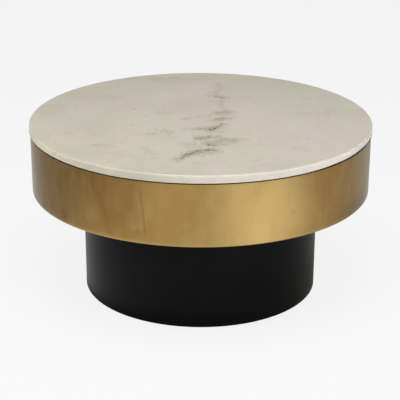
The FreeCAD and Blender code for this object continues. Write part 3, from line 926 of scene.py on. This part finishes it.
# sole, sloping shoulder, and a socket from above that is wider than its mouth
def plasticFoot(side):
    low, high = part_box(f"foot_pad_{side}")
    rim, ease, bevel = (high.x - low.x) / 2, footPad["ease"], footPad["bevel"]
    mouth, socket, sole = footPad["mouth"] / 2, footPad["socket"] / 2, footPad["sole"]
    corners = [(0, low.z, 0), (rim - bevel, low.z, ease), (rim, low.z + bevel, ease)]
    corners += [(rim, footPad["rim"], ease), (footPad["shoulder"] / 2, high.z, ease)]
    corners += [(mouth, high.z, footPad["mouthEase"]), (mouth, footPad["socketTop"], 0)]
    corners += [(socket, footPad["socketTop"], 0), (socket, sole, 0), (0, sole, 0)]
    profile = easedProfile(corners, footPad["arcSteps"])
    points, faces = weldPoles(*turnedGrid(profile, footPad["columns"], False))
    points = points + np.array(((low.x + high.x) / 2, (low.y + high.y) / 2, 0))
    piece = meshPiece(f"nylon_foot_{side}", points, faces, footPad["sharp"])
    return dress(piece, blackNylon, f"pad_{side}", "foot_plastic", f"foot_pad_{side}")


zincPlate = zincFinish()
blackNylon = nylonFinish()
lipScrews()
baseBolts()
for side in sides:
    footStud(side)
    plasticFoot(side)
coat(zincPlate, "board_screws", "bolt_washers", "bolt_weld_nuts", "foot_weld_nuts")
print("screws, bolts and feet done")


# board, panel, frame and bonding pads
inside = {
    "stain": tint(34, 31, 28),
    "stainPale": tint(58, 52, 45),
    "glue": tint(18, 16, 14),
    "ply": 1.5 * mm,
    "boardSway": ((10 * mm, 10 * mm, 0), 6, 2),
    "fibreStretch": (6, 90, 90),
    "poreStretch": (10, 160, 160),
    "boardRoughness": 0.55,
    "primer": tint(66, 66, 65),
    "primerDark": tint(48, 48, 47),
    "heat": tint(62, 54, 50),
    "primerRoughness": 0.60,
    "primerNoises": {"cloud": (20, 4, 0.6), "scorch": (45, 3), "grit": (700, 3, 0.6)},
    "silicone": tint(62, 56, 46),
    "siliconeDark": tint(48, 43, 35),
    "siliconeRoughness": 0.45,
}


# fibres along x, long pores, and glue lines between the plies
def boardFinish():
    f = Finish("stainedPlywood")
    place = f.place()
    fibre = f.noise(f.stretch(f.wander(place, *inside["boardSway"]), inside["fibreStretch"]), 6, 4, 0.6)
    pore = f.noise(f.stretch(place, inside["poreStretch"]), 12, 2).rise(0.60, 0.74)
    colour = f.mix(fibre.rise(0.35, 0.70), inside["stain"], inside["stainPale"])
    colour = f.mix(pore * 0.6, colour, inside["glue"])
    glueLine = f.split(place)[2].fold(inside["ply"]).rise(0.25 * mm, 0.05 * mm, 0.5)
    colour = f.mix(glueLine, colour, inside["glue"])
    rough = inside["boardRoughness"] + fibre * 0.15 + pore * 0.08
    normal = f.bump(fibre * 0.4 - pore, 0.20, 0.3 * mm)
    return f.set(Base_Color=colour, Roughness=rough, Normal=normal)


def primerFinish():
    f = Finish("steelPrimer")
    noise = f.noises(f.place(), inside["primerNoises"])
    colour = f.mix(noise["cloud"].rise(0.35, 0.65), inside["primerDark"], inside["primer"])
    colour = f.mix(noise["scorch"].rise(0.58, 0.74, 0.4), colour, inside["heat"])
    rough = inside["primerRoughness"] + noise["grit"] * 0.15
    return f.set(Base_Color=colour, Roughness=rough, Normal=f.bump(noise["grit"], 0.15, 0.3 * mm))


def siliconeFinish():
    f = Finish("bondSilicone")
    cloud = f.noise(f.place(), 90, 3, 0.5)
    colour = f.mix(cloud.rise(0.3, 0.7), inside["siliconeDark"], inside["silicone"])
    rough = inside["siliconeRoughness"] + cloud * 0.15
    return f.set(Base_Color=colour, Roughness=rough, Normal=f.bump(cloud, 0.20, 0.5 * mm))


coat(boardFinish(), "top_board", "underside_panel")
coat(primerFinish(), "upper_hoop", "lower_hoop", "board_tabs", "lip_tabs",
     "upper_tube_long", "upper_tube_back", "upper_tube_front",
     "lower_bar_long", "lower_bar_back", "lower_bar_front",
     *[f"post_{side}" for side in sides])
coat(siliconeFinish(), "bond_pads")
print("board, panel, frame and pads done")


# floor, light and camera
studio = {
    "floorSize": 200.0,
    "floorColour": tint(248, 248, 248),
    "floorCloud": tint(244, 244, 244),
    "floorRoughness": 0.9,
    "floorGloss": 0.1,
    "floorGlow": 0.92,
    # the painted shade that reflections meet on the floor away from the strip
    "dim": tint(163, 160, 155),
    "sky": 0.40,
    "eye": (-0.0011, -2.8863, 1.3084),
    "aim": (-0.0009, 0.0, 0.2035),
    "lens": 115.8,
    "sensor": 36.0,
    "roll": 0.27,
}

# softboxes: place, what it points at, width, height, watts, spread in degrees
softboxes = {
    "overhead": ((0.0, -1.0, 2.7), (0, -0.2, 0), 2.2, 1.6, 20, 100),
    "rightFront": ((1.7, -2.0, 1.0), (0, 0, 0.3), 0.8, 1.2, 9, 180),
    "floorCard": ((0.76, -0.96, 0.01), (0.76, -0.96, 1), 0.92, 0.74, 1.15, 180),
    "leftFill": ((-2.1, -1.1, 1.2), (0, 0, 0.3), 1.0, 1.2, 9, 180),
}


def aim(thing, target):
    direction = Vector(target) - thing.location
    thing.rotation_euler = direction.to_track_quat("-Z", "Y").to_euler()


# painted reflections: for reflections the floor glows white in a broad strip from front to back, wider at
# the right and drawn in beside the base; half white in a patch at the far right and a third in one behind
# it, as painted light; dim elsewhere, and dim close to the base as painted shade
def floorStrip(f, place):
    x, y = f.split(place)[:2]
    right, back = x.most(0), y.most(0)
    reach = x.size() - right * 0.22 + y * 0.15 + back * (0.35 + right * 0.60)
    reach = reach - (y - 0.15).most(0) * 0.75
    away = (x * x + y * y).root()
    # patches of painted light for reflections, at the far right and behind it
    farRight = (x - 1.45).size().rise(0.5, 0.1) * (y + 0.1).size().rise(0.6, 0.2, 0.5)
    farBack = away.rise(0.92, 1.20) * y.rise(0.28, 0.50) * x.rise(0.2, 0.5, 0.34)
    strip = reach.rise(1.10, 0.50).most(farRight).most(farBack)
    return strip * away.rise(0.27, (x * 0.75).most(-0.22) + 0.53)


# the eye sees most of the floor at its own colour, so that it stays even and keeps a soft shadow; so do
# reflections in the strip, as painted light, and beside it the floor glows dim for them as painted shade;
# from below the floor is clear
def floorFinish():
    f = Finish("paleFloor")
    place = f.place()
    cloud = f.noise(place, 2.0, 2).rise(0.3, 0.7, 0.1)
    colour = f.mix(cloud, studio["floorColour"], studio["floorCloud"])
    surface = f.set(Base_Color=colour, Roughness=studio["floorRoughness"],
                    Specular_IOR_Level=studio["floorGloss"])
    direct = f.ray("Camera")
    shade = f.mix(direct.most(floorStrip(f, place)), studio["dim"], studio["floorColour"])
    glow = f.add("ShaderNodeEmission", None, {"Color": shade, "Strength": 1})
    lit = Wire(f, f.shader.outputs[0])
    seen = direct.most(f.mirrored()) * studio["floorGlow"]
    both = f.add("ShaderNodeMixShader", None, {0: seen, 1: lit, 2: glow})
    below = f.add("ShaderNodeNewGeometry", out="Backfacing")
    clear = f.add("ShaderNodeBsdfTransparent")
    whole = f.add("ShaderNodeMixShader", None, {0: below, 1: both, 2: clear})
    f.tree.links.new(whole.socket, f.output.inputs["Surface"])
    return surface


# past the floor's end the eye, and reflections near the skyline, meet the same white; the rest is even sky
def skyFinish():
    f = Finish("studioSky", "ShaderNodeBackground", bpy.data.worlds.new("studioSky"))
    height = f.split(f.add("ShaderNodeTexCoord", out="Generated"))[2]
    seen = f.ray("Camera").most(f.mirrored() * height.rise(0.15, 0.05))
    strength = seen.rise(0, 1) * (1 - studio["sky"]) + studio["sky"]
    return f.set(Color=studio["floorColour"], Strength=strength)


def buildFloor():
    half = studio["floorSize"] / 2
    corners = np.array([(-half, -half, 0), (half, -half, 0), (half, half, 0), (-half, half, 0)])
    floor = meshPiece("studio_floor", corners, np.array([[0, 1, 2, 3]]))
    floor.data.materials.append(floorFinish())


def buildLamps():
    for name, (where, target, width, height, watts, spread) in softboxes.items():
        lamp = bpy.data.lights.new(name, "AREA")
        lamp.shape = "RECTANGLE"
        lamp.size, lamp.size_y, lamp.energy = width, height, watts
        lamp.spread = math.radians(spread)
        box = bpy.data.objects.new(name, lamp)
        bpy.context.scene.collection.objects.link(box)
        box.location = where
        box.visible_camera = False
        aim(box, target)


def buildCamera():
    camera = bpy.data.cameras.new("photoCamera")
    camera.lens = studio["lens"]
    camera.sensor_width = studio["sensor"]
    camera.sensor_fit = "HORIZONTAL"
    eye = bpy.data.objects.new("photoCamera", camera)
    bpy.context.scene.collection.objects.link(eye)
    eye.location = studio["eye"]
    aim(eye, studio["aim"])
    eye.rotation_euler.rotate_axis("Z", math.radians(studio["roll"]))
    bpy.context.scene.camera = eye


buildFloor()
buildLamps()
bpy.context.scene.world = skyFinish()
buildCamera()
bpy.context.scene.view_settings.view_transform = "Standard"
print("studio ready")
